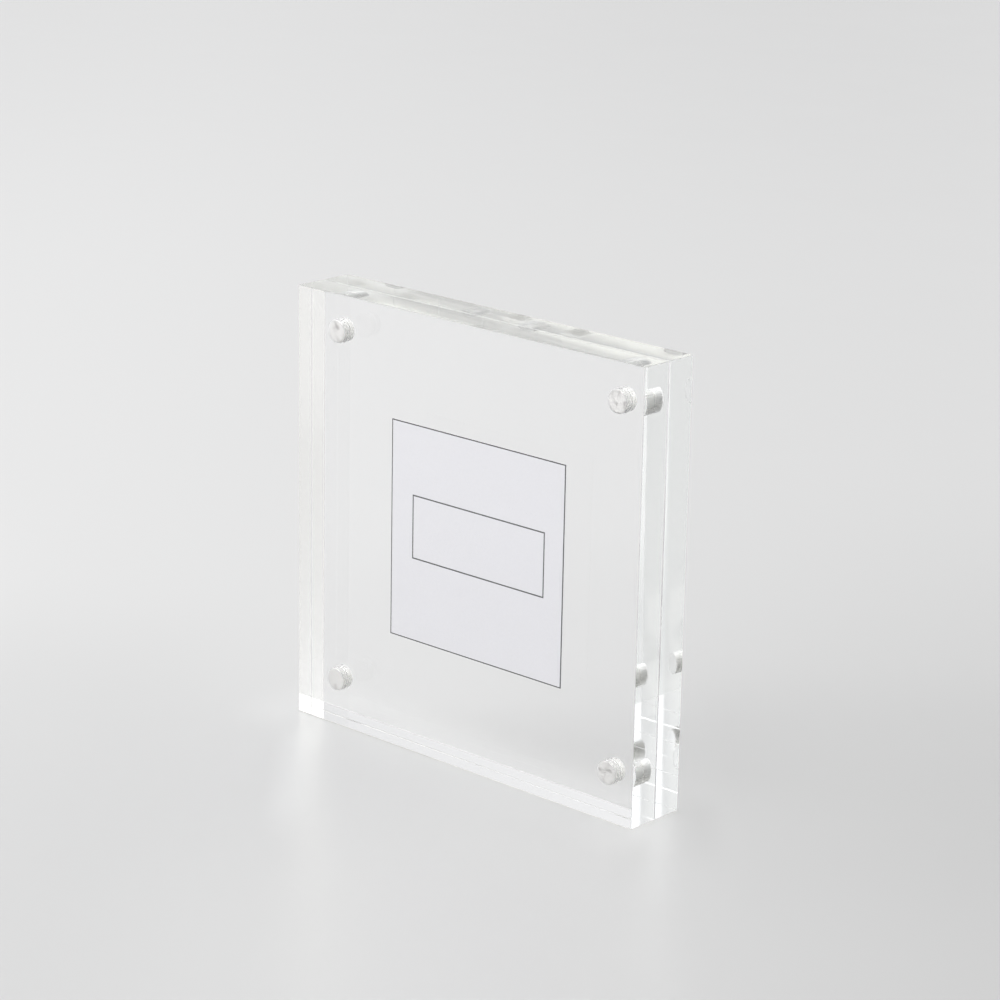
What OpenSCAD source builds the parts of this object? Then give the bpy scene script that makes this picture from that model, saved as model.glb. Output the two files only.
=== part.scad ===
// Clear block photo stand. Two thick acrylic plates stand on edge, face to face. Magnets in
// blind holes at the corners pull them together and clamp a small card between them.
// Millimetres. The origin is the middle of the underside, +Z is up and the front faces -Y.

/* [Plates] */
// Width and height of each square plate
plate_side = 160; // [120:1:240]
// Thickness of each plate
plate_t = 12; // [8:0.5:20]
// Bevel along every edge of a plate
edge_bevel = 0.1; // [0.05:0.05:1.5]

/* [Magnets] */
// Diameter of each round magnet
magnet_d = 8; // [5:0.5:12]
// Length of each magnet, across the plate
magnet_l = 4; // [2:0.5:6]
// Bevel on the rims of each magnet
magnet_bevel = 0.25; // [0.1:0.05:0.5]
// Distance from a magnet's centre to the two nearest edges of its plate
magnet_inset = 15; // [10:0.5:30]

/* [Card] */
// Width of the card
card_w = 81; // [50:0.5:110]
// Height of the card
card_h = 79.5; // [50:0.5:110]
// Thickness of the card
card_t = 0.25; // [0.15:0.05:0.6]
// How far the card sits to the right of the middle
card_shift = 0.9; // [-4:0.1:4]
// How far the card sits below the middle
card_drop = 1.8; // [-4:0.1:4]

/* [Fits] */
// Room around a magnet in its hole, on the radius
hole_room = 0.2; // [0.05:0.05:0.4]
// Room left for glue between a magnet and the bottom of its hole
glue_room = 0.1; // [0.05:0.05:0.3]
// Room between the card and each plate
card_room = 0.025; // [0.01:0.005:0.1]

/* [Hidden] */
// How far a cut runs past the face it opens
cut_overrun = 1;
// Facets of a full circle
$fn = 96;

plate_gap = card_t + 2 * card_room;
plate_y = (plate_gap + plate_t) / 2;
plate_z = plate_side / 2;
magnet_reach = plate_side / 2 - magnet_inset;
hole_d = magnet_d + 2 * hole_room;
hole_depth = magnet_l + glue_room;

// A side is -1 for the front plate and 1 for the rear one, a row is -1 for the bottom and
// 1 for the top, and a column is -1 for the left and 1 for the right, seen from the front.
ENDS = [-1, 1];
SIDE_NAMES = ["front", "rear"];
ROW_NAMES = ["bottom", "top"];
COLUMN_NAMES = ["left", "right"];

function name_of(names, end) = names[(end + 1) / 2];
function magnet_name(side, row, column) = str(
    name_of(SIDE_NAMES, side), "_magnet_", name_of(ROW_NAMES, row), "_", name_of(COLUMN_NAMES, column)
);

// A rectangle with its four corners cut off at 45 degrees
module bevelled_rectangle(w, h, bevel) {
    x = w / 2;
    y = h / 2;
    polygon([
        [x, y - bevel], [x - bevel, y],
        [bevel - x, y], [-x, y - bevel],
        [-x, bevel - y], [bevel - x, -y],
        [x - bevel, -y], [x, bevel - y]
    ]);
}

// A plate about its own centre, bevelled along all twelve edges
module plate_blank() {
    intersection() {
        linear_extrude(plate_side, center = true)
            bevelled_rectangle(plate_side, plate_t, edge_bevel);
        rotate([90, 0, 0])
            linear_extrude(plate_t, center = true)
                bevelled_rectangle(plate_side, plate_side, edge_bevel);
        rotate([90, 0, 90])
            linear_extrude(plate_side, center = true)
                bevelled_rectangle(plate_t, plate_side, edge_bevel);
    }
}

// Puts its children on the inner face of a side's plate at one corner, with +Z into the plate
module at_corner(side, row, column) {
    translate([column * magnet_reach, side * plate_gap / 2, plate_z + row * magnet_reach])
        rotate([-90 * side, 0, 0])
            children();
}

// One plate, with a blind hole from its inner face for the magnet at each corner
module block(side) {
    color("aliceblue", 0.35)
        difference() {
            translate([0, side * plate_y, plate_z])
                plate_blank();
            for (row = ENDS, column = ENDS)
                at_corner(side, row, column)
                    translate([0, 0, -cut_overrun])
                        cylinder(h = hole_depth + cut_overrun, d = hole_d);
        }
}

// One round magnet, its face flush with the inner face of its plate
module magnet(side, row, column) {
    r = magnet_d / 2;
    color("silver")
        at_corner(side, row, column)
            rotate_extrude()
                polygon([
                    [0, 0], [r - magnet_bevel, 0],
                    [r, magnet_bevel], [r, magnet_l - magnet_bevel],
                    [r - magnet_bevel, magnet_l], [0, magnet_l]
                ]);
}

// The card, a little off the centre of the gap, where a hand put it
module card() {
    color("ghostwhite")
        translate([card_shift, 0, plate_z - card_drop])
            cube([card_w, card_t, card_h], center = true);
}

block(-1);  // front_block
block(1);  // rear_block
card();  // photo_card
for (side = ENDS, row = ENDS, column = ENDS)
    magnet(side, row, column);
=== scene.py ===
# %% [markdown]
# A clear acrylic photo stand: the looks.
# The stand is two thick square plates of clear acrylic on edge, face to face. Eight small
# nickel-plated magnets in blind holes hold the plates together and clamp a printed card.
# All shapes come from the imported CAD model. This script gives each piece its surface, and adds
# the floor, the light and the camera of the photograph. Lengths are in metres.

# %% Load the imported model
from math import cos, pi, radians, sin

import bpy
from mathutils import Matrix, Vector


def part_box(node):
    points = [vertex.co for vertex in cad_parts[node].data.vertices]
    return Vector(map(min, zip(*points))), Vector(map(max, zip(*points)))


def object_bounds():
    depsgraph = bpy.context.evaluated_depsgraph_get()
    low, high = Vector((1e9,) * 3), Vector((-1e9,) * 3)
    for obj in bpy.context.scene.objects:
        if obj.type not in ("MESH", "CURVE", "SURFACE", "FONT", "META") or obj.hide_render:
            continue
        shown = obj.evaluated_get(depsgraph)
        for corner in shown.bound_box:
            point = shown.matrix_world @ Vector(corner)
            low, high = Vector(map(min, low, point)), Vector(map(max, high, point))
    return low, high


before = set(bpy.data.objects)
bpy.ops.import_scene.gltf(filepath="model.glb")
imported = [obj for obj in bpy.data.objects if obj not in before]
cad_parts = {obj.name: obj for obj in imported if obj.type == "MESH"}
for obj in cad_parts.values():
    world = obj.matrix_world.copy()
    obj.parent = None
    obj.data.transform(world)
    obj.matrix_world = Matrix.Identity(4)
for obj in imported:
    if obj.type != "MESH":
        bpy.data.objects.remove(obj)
bpy.ops.object.select_all(action="DESELECT")
scene = bpy.context.scene
cad_low, cad_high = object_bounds()
stand_height = cad_high.z
print("nodes:", len(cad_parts), "size:", [round(x, 4) for x in cad_high - cad_low])

# %% [markdown]
# The camera comes first, because everything else is judged through it.
# It was found from the corners of the stand in the photograph: a long lens, a little over a metre
# away, that looks down at the right front edge. A camera can be aimed with a constraint or by
# hand. Here it is turned by three angles, because a camera on a tripod leans a little too, and a
# constraint can't hold that lean.

# %% Camera
CAMERA_YAW = radians(42.343)
CAMERA_PITCH = radians(16.911)
CAMERA_ROLL = radians(1.031)
CAMERA_DISTANCE = 1.1348
CAMERA_ASIDE = 0.00532
CAMERA_ABOVE = 0.01482
LENS_MM = 117.84

stand_centre = Vector((0, 0, stand_height / 2))
turn = (
    Matrix.Rotation(CAMERA_YAW, 4, "Z")
    @ Matrix.Rotation(radians(90) - CAMERA_PITCH, 4, "X")
    @ Matrix.Rotation(CAMERA_ROLL, 4, "Z")
)
bpy.ops.object.camera_add()
camera = bpy.context.object
camera.name = "camera"
camera.data.lens = LENS_MM
camera.matrix_world = (
    Matrix.Translation(stand_centre)
    @ turn
    @ Matrix.Translation((CAMERA_ASIDE, CAMERA_ABOVE, CAMERA_DISTANCE))
)
scene.camera = camera
print("camera at", [round(x, 3) for x in camera.matrix_world.translation])

# %% [markdown]
# Node trees are easier to read when small helpers add the nodes with their settings and links.
# The first one takes a node type, its inputs by name, and its plain settings, and most of the
# others are built from it.


# %% Helpers for node trees
def add_node(tree, kind, inputs=None, **settings):
    """Adds a node. An input is a number or colour, or another node's output to link."""
    node = tree.nodes.new(kind)
    for name, value in settings.items():
        setattr(node, name, value)
    for name, value in (inputs or {}).items():
        if isinstance(value, bpy.types.NodeSocket):
            tree.links.new(value, node.inputs[name])
        else:
            node.inputs[name].default_value = value
    return node


def math_node(tree, operation, first, second=0.0, third=0.0):
    """Adds a Math node and returns its output."""
    inputs = {0: first, 1: second, 2: third}
    return add_node(tree, "ShaderNodeMath", inputs, operation=operation).outputs[0]


def vector_math(tree, operation, inputs):
    """Adds a Vector Math node and returns its output."""
    node = add_node(tree, "ShaderNodeVectorMath", inputs, operation=operation)
    return node.outputs["Value" if operation == "DOT_PRODUCT" else "Vector"]


def ramp(tree, value, low, high, at_low=0.0, at_high=1.0):
    """Maps a value smoothly from between low and high to between two results."""
    inputs = {
        "Value": value, "From Min": low, "From Max": high, "To Min": at_low, "To Max": at_high}
    node = add_node(tree, "ShaderNodeMapRange", inputs, interpolation_type="SMOOTHSTEP")
    return node.outputs["Result"]


def mix_colour(tree, share, first, second):
    """Mixes two colours by a share from 0 to 1. A Mix node's colours are its inputs 6 and 7."""
    inputs = {0: share, 6: first, 7: second}
    return add_node(tree, "ShaderNodeMix", inputs, data_type="RGBA").outputs[2]


def from_centre(tree, value, centre):
    """How far a value is from a centre, without its sign."""
    return math_node(tree, "ABSOLUTE", math_node(tree, "SUBTRACT", value, centre))


def hypotenuse(tree, first, second):
    """The long side of a right triangle, from its two short sides."""
    squares = [math_node(tree, "MULTIPLY", side, side) for side in (first, second)]
    return math_node(tree, "SQRT", math_node(tree, "ADD", *squares))


def raised(tree, value, mask, amount):
    """Raises a value by a share of itself where a mask is 1. A negative amount lowers it."""
    factor = math_node(tree, "MULTIPLY_ADD", mask, amount, 1.0)
    return math_node(tree, "MULTIPLY", value, factor)


def object_place(tree):
    """The place on the object, first as a vector and then as its X, Y and Z."""
    place = add_node(tree, "ShaderNodeTexCoord").outputs["Object"]
    return place, add_node(tree, "ShaderNodeSeparateXYZ", {0: place}).outputs


def new_material(name):
    """Makes an empty node material and returns it with its tree and its output node."""
    material = bpy.data.materials.new(name)
    material.use_nodes = True
    material.node_tree.nodes.clear()
    output = add_node(material.node_tree, "ShaderNodeOutputMaterial")
    return material, material.node_tree, output


def new_group(name, inputs, outputs):
    """Makes a shader node group. Each input is a name with its value, and each output a name."""
    group = bpy.data.node_groups.new(name, "ShaderNodeTree")
    for socket_name, value in inputs.items():
        kind = "NodeSocketVector" if isinstance(value, tuple) else "NodeSocketFloat"
        socket = group.interface.new_socket(name=socket_name, in_out="INPUT", socket_type=kind)
        socket.default_value = value
    for socket_name in outputs:
        group.interface.new_socket(name=socket_name, in_out="OUTPUT", socket_type="NodeSocketFloat")
    entry = group.nodes.new("NodeGroupInput")
    exit_node = group.nodes.new("NodeGroupOutput")
    return group, entry.outputs, exit_node.inputs


def place_group(tree, group, inputs):
    """Places a node group in a tree with its own values and returns its outputs."""
    return add_node(tree, "ShaderNodeGroup", inputs, node_tree=group).outputs


# %% [markdown]
# Two effects are needed by more than one material, so each is a node group.
# A straight frame line is a band along a rectangle in the X-Z plane. On the card it is a printed
# rule, and on the plates the same band marks their narrow faces. It could be painted as an image,
# but a formula stays sharp at any size.

# %% Group: frame line
LINE_SOFTNESS = 0.00002

frame_line, given, result = new_group(
    "frame_line",
    {"Position": (0, 0, 0), "Centre X": 0.0, "Centre Z": 0.08, "Half Width": 0.08,
     "Half Height": 0.08, "Line Width": 0.0005, "Softness": LINE_SOFTNESS},
    ["Mask"],
)
group = frame_line
axes = add_node(group, "ShaderNodeSeparateXYZ", {0: given["Position"]}).outputs
off_x = from_centre(group, axes["X"], given["Centre X"])
off_z = from_centre(group, axes["Z"], given["Centre Z"])
from_side = math_node(group, "SUBTRACT", given["Half Width"], off_x)
from_end = math_node(group, "SUBTRACT", given["Half Height"], off_z)
inside = math_node(group, "MINIMUM", from_side, from_end)
half_line = math_node(group, "MULTIPLY", given["Line Width"], 0.5)
off_line = from_centre(group, inside, half_line)
soft_edge = math_node(group, "ADD", half_line, given["Softness"])
mask = add_node(group, "ShaderNodeMapRange", {
    "Value": off_line, "From Min": soft_edge, "From Max": half_line, "To Min": 0.0, "To Max": 1.0})
group.links.new(mask.outputs["Result"], result["Mask"])
print("group:", frame_line.name, [item.name for item in frame_line.interface.items_tree])

# %% [markdown]
# The other shared effect is handling: faint cloudy marks and fine straight wiping scratches, which
# polished acrylic, plated metal and a glossy table top all pick up. One noise gives the cloudy
# part and a second noise, stretched one way, gives the scratches. Each material sets its own scale
# and decides what the marks change.

# %% Group: handling marks
SCRATCH_TURN = (0.3, 0.5, 0.2)
SCRATCH_STRETCH = (1.0, 24.0, 1.0)
SCRATCH_STARTS = 0.62
SCRATCH_IS_FULL = 0.72

handling, given, result = new_group(
    "handling_marks",
    {"Position": (0, 0, 0), "Scale": 60.0, "Scratch Scale": 260.0},
    ["Clouds", "Scratches"],
)
group = handling
clouds = add_node(group, "ShaderNodeTexNoise", {
    "Vector": given["Position"], "Scale": given["Scale"], "Detail": 4.0, "Roughness": 0.6})
stretched = add_node(group, "ShaderNodeMapping", {
    "Vector": given["Position"], "Rotation": SCRATCH_TURN, "Scale": SCRATCH_STRETCH})
scratch_noise = add_node(group, "ShaderNodeTexNoise", {
    "Vector": stretched.outputs[0], "Scale": given["Scratch Scale"],
    "Detail": 2.0, "Roughness": 0.5})
scratches = add_node(group, "ShaderNodeMapRange", {
    "Value": scratch_noise.outputs["Fac"], "From Min": SCRATCH_STARTS,
    "From Max": SCRATCH_IS_FULL, "To Min": 0.0, "To Max": 1.0})
group.links.new(clouds.outputs["Fac"], result["Clouds"])
group.links.new(scratches.outputs["Result"], result["Scratches"])
print("group:", handling.name, [item.name for item in handling.interface.items_tree])

# %% [markdown]
# The acrylic is optically clear, and a real clear block is all about what it bends and mirrors,
# so the Principled shader gets full transmission and the refractive index of acrylic, 1.49. Here
# it is a touch lower, because light crosses the block so many times that a small change moves
# the stripes in the top edge.
# The big faces keep the sheet's own gloss. The narrow faces were sawn and then polished, so they
# are very slightly wavy and soft. Their outer bevels were scraped and stay matt, the fine ones
# beside the gap are polished, and the drilled holes are satin at the bottom and rougher on the
# wall. Object coordinates tell these parts apart.

# %% Acrylic: the parts of a plate
PLATE_HALF = cad_high.x
EDGE_BAND = 0.00012
BEVEL_START = 0.00001
SEAM_HALF = 0.0004
MAGNET_REACH = 0.065
HOLE_DEPTH = 0.0043
HOLE_REGION = 0.0044
HOLE_WALL_START = 0.0040


def rim_band(tree, place, start, softness):
    """Marks the plates' rim, from a distance inside it to an edge band's width further in."""
    return place_group(tree, frame_line, {
        "Position": place, "Centre Z": stand_height / 2, "Half Width": PLATE_HALF - start,
        "Half Height": PLATE_HALF - start, "Line Width": EDGE_BAND, "Softness": softness,
    })["Mask"]


acrylic, tree, output = new_material("clear_acrylic")
place, axes = object_place(tree)
narrow = rim_band(tree, place, 0.0, LINE_SOFTNESS)
bevelled = rim_band(tree, place, BEVEL_START, BEVEL_START / 2)
underside = math_node(tree, "LESS_THAN", axes["Z"], EDGE_BAND)
off_seam = from_centre(tree, axes["Y"], 0.0)
away_from_seam = math_node(tree, "GREATER_THAN", off_seam, SEAM_HALF)
outer_bevel = math_node(tree, "MULTIPLY", bevelled, away_from_seam)
lower_bevel = math_node(tree, "MULTIPLY", bevelled, underside)
across = math_node(tree, "SUBTRACT", from_centre(tree, axes["X"], 0.0), MAGNET_REACH)
along = math_node(
    tree, "SUBTRACT", from_centre(tree, axes["Z"], stand_height / 2), MAGNET_REACH)
from_axis = hypotenuse(tree, across, along)
in_depth = math_node(tree, "LESS_THAN", off_seam, HOLE_DEPTH)
in_hole = math_node(tree, "LESS_THAN", from_axis, HOLE_REGION)
at_wall = math_node(tree, "GREATER_THAN", from_axis, HOLE_WALL_START)
drilled = math_node(tree, "MULTIPLY", in_depth, in_hole)
hole_wall = math_node(tree, "MULTIPLY", drilled, at_wall)
print("plate half:", round(PLATE_HALF, 4), "nodes so far:", len(tree.nodes))

# %% [markdown]
# Light that crosses a narrow face mostly runs the plate's whole width, and loses a little on the
# way. A volume could take that loss, but a tint on the narrow faces does it without more noise.
# The bevels along the underside are tinted a little darker, so they pass less light.
# Lamps would leave a hard dark shadow inside real glass in a path tracer, so shadow and diffuse
# rays pass straight through by a Light Path trick, and less of them passes the underside.

# %% Acrylic: the surface
ACRYLIC_IOR = 1.483
NARROW_FACE_ROUGHNESS = 0.045
HOLE_ROUGHNESS = 0.3
HOLE_WALL_ROUGHNESS = 0.5
BEVEL_ROUGHNESS = 0.6
UNDERSIDE_ROUGHNESS = 0.03
SCRATCH_ROUGHNESS = 0.01
WAVE_SCALE = 55.0
WAVE_HEIGHT = 0.00001
CLEAR = (1, 1, 1, 1)
PASSING_LIGHT = (0.995, 0.997, 0.995, 1)
UNDERSIDE_LIGHT = (0.87, 0.855, 0.80, 1)
LONG_WAY_LIGHT = (0.953, 0.968, 0.962, 1)
UNDERSIDE_BEVEL_LIGHT = (0.84, 0.84, 0.84, 1)

marks = place_group(tree, handling, {"Position": place, "Scale": 45.0, "Scratch Scale": 300.0})
plate_roughness = math_node(tree, "MULTIPLY", narrow, NARROW_FACE_ROUGHNESS)
for mask, amount in (
    (drilled, HOLE_ROUGHNESS),
    (hole_wall, HOLE_WALL_ROUGHNESS),
    (outer_bevel, BEVEL_ROUGHNESS),
    (underside, UNDERSIDE_ROUGHNESS),
    (marks["Scratches"], SCRATCH_ROUGHNESS),
):
    plate_roughness = math_node(tree, "MULTIPLY_ADD", mask, amount, plate_roughness)
waves = add_node(tree, "ShaderNodeTexNoise", {"Vector": place, "Scale": WAVE_SCALE, "Detail": 1.0})
bump = add_node(tree, "ShaderNodeBump", {
    "Strength": 1.0, "Distance": WAVE_HEIGHT, "Height": waves.outputs["Fac"]})
face_colour = mix_colour(tree, narrow, CLEAR, LONG_WAY_LIGHT)
glass = add_node(tree, "ShaderNodeBsdfPrincipled", {
    "Base Color": mix_colour(tree, lower_bevel, face_colour, UNDERSIDE_BEVEL_LIGHT),
    "Roughness": plate_roughness, "IOR": ACRYLIC_IOR, "Transmission Weight": 1.0,
    "Normal": bump.outputs[0]})
passing = add_node(tree, "ShaderNodeBsdfTransparent", {
    "Color": mix_colour(tree, underside, PASSING_LIGHT, UNDERSIDE_LIGHT)})
rays = add_node(tree, "ShaderNodeLightPath").outputs
passes = math_node(tree, "MAXIMUM", rays["Is Shadow Ray"], rays["Is Diffuse Ray"])
mixed = add_node(tree, "ShaderNodeMixShader", {
    0: passes, 1: glass.outputs[0], 2: passing.outputs[0]})
tree.links.new(mixed.outputs[0], output.inputs["Surface"])
print("acrylic: refractive index", ACRYLIC_IOR)

# %% [markdown]
# Each magnet is a short sintered cylinder with a thin plating of nickel. The plating follows the
# grainy surface under it, so it mirrors its surroundings in soft dark and bright blotches. A metal
# shader with a middling roughness and a grainy bump does this. Dark clouds in the colour stand for
# tarnish. The barrel is wet with glue and has a colour of its own, darker than the flat ends:
# partly the glue and partly painted shade from the hole around it.

# %% Nickel
NICKEL = (0.94, 0.93, 0.91, 1)
NICKEL_DARK = (0.56, 0.55, 0.535, 1)
# Barrel colour: glue, darkened further as painted shade from the hole around it.
GLUE_AND_HOLE_SHADE = (0.53, 0.53, 0.515, 1)
TARNISH_STARTS = 0.53
TARNISH_IS_FULL = 0.66
MAGNET_MIDDLE = 0.00215
BARREL_HALF = 0.00185
GRAIN_SCALE = 700.0
GRAIN_STRENGTH = 0.8
GRAIN_HEIGHT = 0.00018
PLATING_ROUGHNESS = 0.32
PLATING_SCRATCHES = 0.15

nickel, tree, output = new_material("nickel")
place, axes = object_place(tree)
marks = place_group(tree, handling, {"Position": place, "Scale": 420.0, "Scratch Scale": 900.0})
tarnish = ramp(tree, marks["Clouds"], TARNISH_STARTS, TARNISH_IS_FULL)
plating = mix_colour(tree, tarnish, NICKEL, NICKEL_DARK)
off_middle = from_centre(tree, from_centre(tree, axes["Y"], 0.0), MAGNET_MIDDLE)
barrel = math_node(tree, "LESS_THAN", off_middle, BARREL_HALF)
grain = add_node(tree, "ShaderNodeTexNoise", {
    "Vector": place, "Scale": GRAIN_SCALE, "Detail": 3.0})
bump = add_node(tree, "ShaderNodeBump", {
    "Strength": GRAIN_STRENGTH, "Distance": GRAIN_HEIGHT, "Height": grain.outputs["Fac"]})
plating_roughness = math_node(
    tree, "MULTIPLY_ADD", marks["Scratches"], PLATING_SCRATCHES, PLATING_ROUGHNESS)
metal = add_node(tree, "ShaderNodeBsdfPrincipled", {
    "Base Color": mix_colour(tree, barrel, plating, GLUE_AND_HOLE_SHADE), "Roughness": plating_roughness,
    "Metallic": 1.0, "Normal": bump.outputs[0]})
tree.links.new(metal.outputs[0], output.inputs["Surface"])
print("nickel:", len(tree.nodes), "nodes")

# %% [markdown]
# The card is smooth white printing card. The printer left a dark rule along its edge and a small
# rectangle in the middle, and both are plain rules. They are printed on the front only. The place
# inside the small rectangle is bare, for the owner's own words. The frame line group draws each
# rule from its centre and half sizes, and a fine noise gives the paper its tooth.

# %% Card
INK = (0.035, 0.035, 0.04, 1)
PAPER = (0.89, 0.882, 0.91, 1)
FIBRE_SHARE = 0.985
FIBRE = tuple(x * FIBRE_SHARE for x in PAPER[:3]) + (1,)
PAPER_ROUGHNESS = 0.75
EDGE_RULE = 0.0004
INNER_RULE = 0.00048
INNER_HALF_WIDTH = 0.031
INNER_HALF_HEIGHT = 0.01175
INNER_RIGHT = 0.0008
INNER_UP = 0.0024
FIBRE_SCALE = 900.0
FIBRE_LIMITS = (0.3, 0.7)
TOOTH_STRENGTH = 0.25
TOOTH_HEIGHT = 0.00003

card_low, card_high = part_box("photo_card")
card_centre = (card_low + card_high) / 2
card, tree, output = new_material("printed_card")
place, axes = object_place(tree)
on_front = math_node(tree, "LESS_THAN", axes["Y"], 0.0)
inner_rule = place_group(tree, frame_line, {
    "Position": place, "Centre X": card_centre.x + INNER_RIGHT,
    "Centre Z": card_centre.z + INNER_UP, "Half Width": INNER_HALF_WIDTH,
    "Half Height": INNER_HALF_HEIGHT, "Line Width": INNER_RULE})["Mask"]
edge_rule = place_group(tree, frame_line, {
    "Position": place, "Centre X": card_centre.x, "Centre Z": card_centre.z,
    "Half Width": card_high.x - card_centre.x, "Half Height": card_high.z - card_centre.z,
    "Line Width": EDGE_RULE})["Mask"]
fibres = add_node(tree, "ShaderNodeTexNoise", {
    "Vector": place, "Scale": FIBRE_SCALE, "Detail": 5.0})
tone = ramp(tree, fibres.outputs["Fac"], *FIBRE_LIMITS)
card_colour = mix_colour(tree, tone, PAPER, FIBRE)
for rule in (inner_rule, edge_rule):
    printed = math_node(tree, "MULTIPLY", rule, on_front)
    card_colour = mix_colour(tree, printed, card_colour, INK)
tooth = add_node(tree, "ShaderNodeBump", {
    "Strength": TOOTH_STRENGTH, "Distance": TOOTH_HEIGHT, "Height": fibres.outputs["Fac"]})
paper = add_node(tree, "ShaderNodeBsdfPrincipled", {
    "Base Color": card_colour, "Roughness": PAPER_ROUGHNESS, "Normal": tooth.outputs[0]})
tree.links.new(paper.outputs[0], output.inputs["Surface"])
print("card:", [round(x, 4) for x in card_high - card_low])

# %% [markdown]
# The plates, the magnets and the card already have their right shapes in the CAD model, so each
# keeps its mesh and only gets its material.

# %% Dress the nodes
for name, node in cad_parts.items():
    material = acrylic if "block" in name else nickel if "magnet" in name else card
    node.data.materials.clear()
    node.data.materials.append(material)
    print(name, "->", material.name)

# %% [markdown]
# The stand is on a wide pale glossy table top, which mirrors it faintly. A plain disc is enough,
# because it is so wide that its rim is never in view.

# %% Floor
FLOOR_RADIUS = 4.0
FLOOR_CORNERS = 96
FLOOR_DROP = 0.0002

bpy.ops.mesh.primitive_circle_add(
    vertices=FLOOR_CORNERS, radius=FLOOR_RADIUS, fill_type="NGON", location=(0, 0, -FLOOR_DROP))
floor = bpy.context.object
floor.name = "floor"
print("floor:", len(floor.data.vertices), "corners, radius", FLOOR_RADIUS)

# %% [markdown]
# The table is lighter at the left and behind, where the studio's light falls, and greyer at the
# right and in front. The shading could come from a lamp alone, but the light then changes on the
# stand as well, so the table's own colour carries it. Two directions on the table, away from the
# camera and to its right, say where each part lies. Two parts far left and far right are out of
# view, and are lighter because the stand's edges show them.

# %% Floor: the wide shading
VIEW_AWAY = (-sin(CAMERA_YAW), cos(CAMERA_YAW), 0)
VIEW_RIGHT = (cos(CAMERA_YAW), sin(CAMERA_YAW), 0)
FLOOR_GREY = 0.679
# Each tone says where it begins and where it ends, and the share of the grey at both places.
TONE_TO_RIGHT = (-0.3, 0.35, 1.0, 0.855)
TONES_AWAY = ((-0.25, 0.3, 0.905, 1.0), (0.1, 0.9, 0.96, 1.0))
# Where a part begins and where it is full, first to the right and then away from the camera, and
# how much light it adds. A negative amount takes light away.
RIGHT_FRONT = ((-0.05, 0.3), (0.4, -0.05), -0.15)
LEFT_FRONT = ((-0.06, -0.14), (0.2, 0.06), -0.045)
FAR_RIGHT = ((0.22, 0.42), (0.6, 0.2), 0.13)
FAR_LEFT = ((-0.17, -0.30), (0.35, 0.05), 0.16)

floor_paint, tree, output = new_material("pale_floor")
place, axes = object_place(tree)
away = vector_math(tree, "DOT_PRODUCT", {0: place, 1: VIEW_AWAY})
right = vector_math(tree, "DOT_PRODUCT", {0: place, 1: VIEW_RIGHT})
shade = math_node(tree, "MULTIPLY", ramp(tree, right, *TONE_TO_RIGHT), FLOOR_GREY)
for tone in TONES_AWAY:
    shade = math_node(tree, "MULTIPLY", shade, ramp(tree, away, *tone))
for to_right, to_away, amount in (RIGHT_FRONT, LEFT_FRONT, FAR_RIGHT, FAR_LEFT):
    part = math_node(
        tree, "MULTIPLY", ramp(tree, right, *to_right), ramp(tree, away, *to_away))
    shade = raised(tree, shade, part, amount)
print("floor: nodes so far", len(tree.nodes))

# %% [markdown]
# Close round the base and under it the table is a little lighter, because the polished edges
# throw light down there. Little of it falls in front of the stand's middle, and none past its
# right end.

# %% Floor: the light round the base
THROWN_LIGHT = 0.08
THROWN_REACH = 0.03
THROWN_ENDS = (0.070, 0.060)
FRONT_HELD_BACK = 0.8
HELD_BACK_LEFT = (-0.060, -0.052)
HELD_BACK_RIGHT = (0.048, 0.018)
UNDER_BASE_LIGHT = 0.16
UNDER_BASE_STARTS = (-0.02, 0.0)
TOUCHING = 0.00001


def beyond(tree, value, half):
    """How far a value lies outside the span from -half to half, or 0 inside it."""
    outside = math_node(tree, "MAXIMUM", from_centre(tree, value, 0.0), half)
    return math_node(tree, "SUBTRACT", outside, half)


from_base = hypotenuse(
    tree, beyond(tree, axes["X"], PLATE_HALF), beyond(tree, axes["Y"], cad_high.y))
under_base = math_node(tree, "LESS_THAN", from_base, TOUCHING)
guided = math_node(tree, "MULTIPLY", under_base, ramp(tree, axes["X"], *UNDER_BASE_STARTS))
in_front = math_node(tree, "LESS_THAN", axes["Y"], -cad_high.y)
between_ends = math_node(
    tree, "MULTIPLY", ramp(tree, right, *HELD_BACK_LEFT), ramp(tree, right, *HELD_BACK_RIGHT))
held_back = math_node(tree, "MULTIPLY", in_front, between_ends)
thrown = math_node(
    tree, "MULTIPLY", ramp(tree, from_base, THROWN_REACH, 0.0), ramp(tree, right, *THROWN_ENDS))
thrown = raised(tree, thrown, held_back, -FRONT_HELD_BACK)
shade = raised(tree, shade, guided, UNDER_BASE_LIGHT)
shade = raised(tree, shade, thrown, THROWN_LIGHT)
print("floor: nodes so far", len(tree.nodes))

# %% [markdown]
# Two faint streaks of light lead from the stand's ends towards the camera. A narrow shade lies
# beside the right one, and the table to the right of it is a touch darker.

# %% Floor: streaks and shade
DIM_RIGHT = (0.070, 0.092)
DIM_FAR_END = (0.12, 0.03)
DIM_NEAR_END = (-0.17, -0.07)
DIM_AMOUNT = -0.035
STREAK_FADE = 0.025
# Middle and reach to each side, then far end and near end in the view, and how much light the
# streak adds. A negative amount is a shade.
STREAKS = (
    (-0.0655, 0.0105, 0.035, -0.085, 0.105),
    (0.0575, 0.009, -0.045, -0.135, 0.05),
    (0.0745, 0.012, -0.025, -0.11, -0.07),
)

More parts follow.
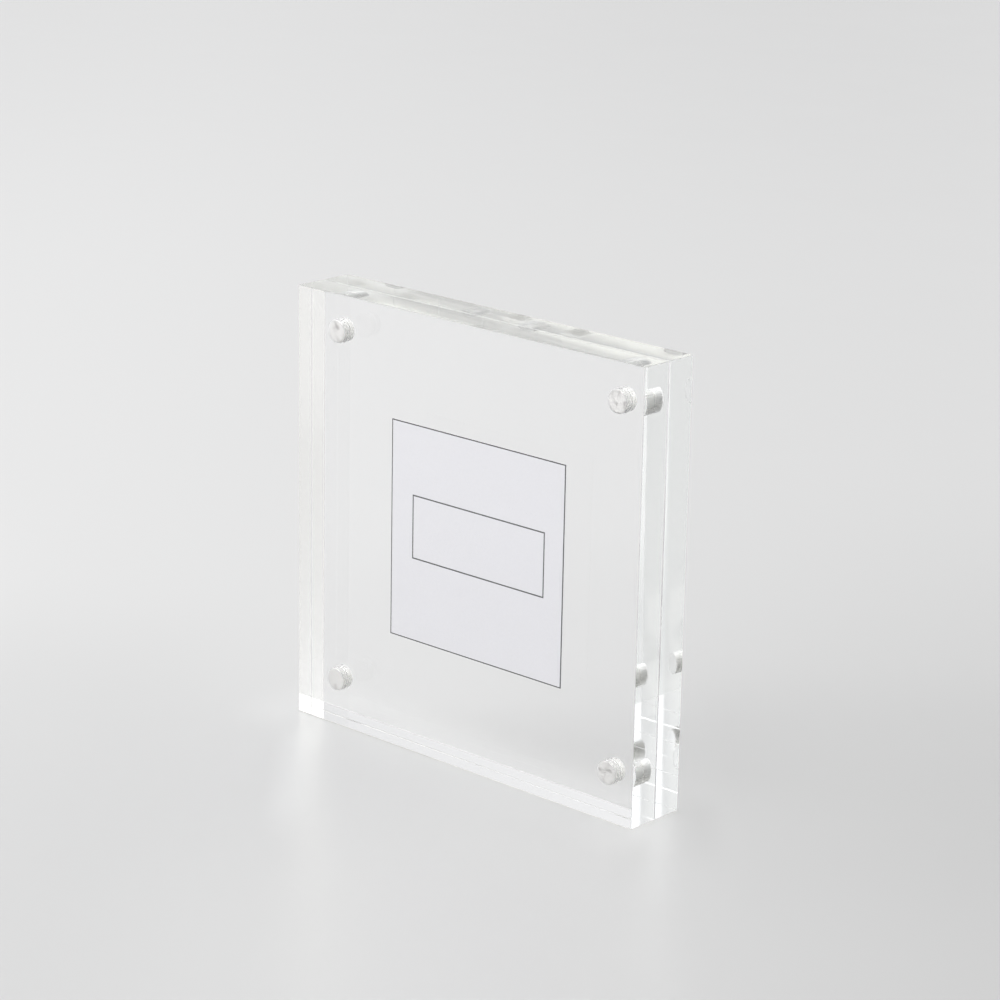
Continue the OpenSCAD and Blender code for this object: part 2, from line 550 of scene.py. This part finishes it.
dim_length = math_node(
    tree, "MULTIPLY", ramp(tree, away, *DIM_FAR_END), ramp(tree, away, *DIM_NEAR_END))
dim = math_node(tree, "MULTIPLY", ramp(tree, right, *DIM_RIGHT), dim_length)
shade = raised(tree, shade, dim, DIM_AMOUNT)
for middle, reach, far_end, near_end, amount in STREAKS:
    beside = ramp(tree, from_centre(tree, right, middle), reach, 0.0)
    length = math_node(
        tree, "MULTIPLY", ramp(tree, away, far_end, far_end - STREAK_FADE),
        ramp(tree, away, near_end, near_end + 2 * STREAK_FADE))
    streak = math_node(tree, "MULTIPLY", beside, length)
    shade = raised(tree, shade, streak, amount)
print("streaks and shades:", len(STREAKS))

# %% [markdown]
# Hands and cloths have softened the table's gloss, but the place under the base keeps it.

# %% Floor: the surface
FLOOR_ROUGHNESS = 0.26
FLOOR_HANDLING = 0.08
UNDER_BASE_GLOSS = 0.75
FLOOR_IOR = 1.7

grey = add_node(tree, "ShaderNodeCombineColor", {0: shade, 1: shade, 2: shade})
marks = place_group(tree, handling, {"Position": place, "Scale": 9.0, "Scratch Scale": 60.0})
handled = math_node(tree, "MULTIPLY_ADD", marks["Clouds"], FLOOR_HANDLING, FLOOR_ROUGHNESS)
board = add_node(tree, "ShaderNodeBsdfPrincipled", {
    "Base Color": grey.outputs[0], "IOR": FLOOR_IOR,
    "Roughness": raised(tree, handled, under_base, -UNDER_BASE_GLOSS)})
tree.links.new(board.outputs[0], output.inputs["Surface"])
floor.data.materials.append(floor_paint)
print("floor:", floor_paint.name, len(tree.nodes), "nodes")

# %% [markdown]
# The studio is a bright room with a dark side behind the camera. The world shader builds it from
# a base and a few wide soft glows, each round a direction. Photographs of rooms are the usual
# way, but glows can be placed and turned one by one.


# %% World
def direction(azimuth, elevation):
    """A unit vector. Azimuth 0 is in front of the stand, and 90 at its right."""
    a, e = radians(azimuth), radians(elevation)
    return Vector((sin(a) * cos(e), -cos(a) * cos(e), sin(e)))


ROOM_LEVEL = (0.795, 0.797, 0.81)
# Azimuth, elevation, inner angle and outer angle in degrees, then how much red, green and blue
# the glow adds. A negative amount takes light away.
GLOWS = (
    (137, 24, 24, 54, (0.90, 0.89, 0.80)),
    (-45, 26, 12, 50, (0.39, 0.39, 0.40)),
    (-138, 15, 5, 42, (-0.068, -0.068, -0.075)),
    (-172, 22, 12, 40, (0.20, 0.20, 0.20)),
    (42, 16, 16, 58, (-0.50, -0.50, -0.48)),
    (0, 90, 20, 62, (0.20, 0.20, 0.20)),
)

world = bpy.data.worlds.new("studio")
scene.world = world
world.use_nodes = True
tree = world.node_tree
tree.nodes.clear()
ray = add_node(tree, "ShaderNodeTexCoord").outputs["Generated"]
ray = vector_math(tree, "NORMALIZE", {0: ray})
light = add_node(tree, "ShaderNodeCombineXYZ", dict(enumerate(ROOM_LEVEL))).outputs[0]
for azimuth, elevation, inner, outer, amount in GLOWS:
    near = vector_math(tree, "DOT_PRODUCT", {0: ray, 1: direction(azimuth, elevation)})
    share = ramp(tree, near, cos(radians(outer)), cos(radians(inner)))
    glow = vector_math(tree, "SCALE", {0: amount, "Scale": share})
    light = vector_math(tree, "ADD", {0: light, 1: glow})
sky = add_node(tree, "ShaderNodeBackground", {"Color": light, "Strength": 1.0})
add_node(tree, "ShaderNodeOutputWorld", {"Surface": sky.outputs[0]})
print("glows:", len(GLOWS))

# %% [markdown]
# One wide softbox at the front left gives the light a side. It is a rectangular lamp that faces
# the stand, hidden from the camera but not from mirrors and glass. Its place is given by the same
# angles as the glows, and a lamp's power is its brightness times its area and pi.

# %% Softbox
SOFTBOX_AZIMUTH = radians(-30)
SOFTBOX_ELEVATION = radians(50)
SOFTBOX_DISTANCE = 1.7
SOFTBOX_WIDTH = 1.9
SOFTBOX_HEIGHT = 1.4
SOFTBOX_RADIANCE = 1.3

bpy.ops.object.light_add(type="AREA")
softbox = bpy.context.object
softbox.name = "softbox_front_left"
softbox.matrix_world = (
    Matrix.Translation(stand_centre)
    @ Matrix.Rotation(SOFTBOX_AZIMUTH, 4, "Z")
    @ Matrix.Rotation(radians(90) - SOFTBOX_ELEVATION, 4, "X")
    @ Matrix.Translation((0, 0, SOFTBOX_DISTANCE))
)
softbox.data.shape = "RECTANGLE"
softbox.data.size = SOFTBOX_WIDTH
softbox.data.size_y = SOFTBOX_HEIGHT
softbox.data.energy = SOFTBOX_RADIANCE * SOFTBOX_WIDTH * SOFTBOX_HEIGHT * pi
softbox.visible_camera = False
print("softbox:", round(softbox.data.energy, 2), "W")

# %% [markdown]
# Light that enters a clear block is mirrored inside it many times before it leaves, so the number
# of bounces is raised far above the usual twelve. Too few would leave black stripes in the edges.

# %% View settings
BOUNCES = 64

scene.view_settings.view_transform = "Standard"
scene.cycles.max_bounces = BOUNCES
scene.cycles.glossy_bounces = BOUNCES
scene.cycles.transmission_bounces = BOUNCES
print("bounces:", BOUNCES, "view:", scene.view_settings.view_transform)
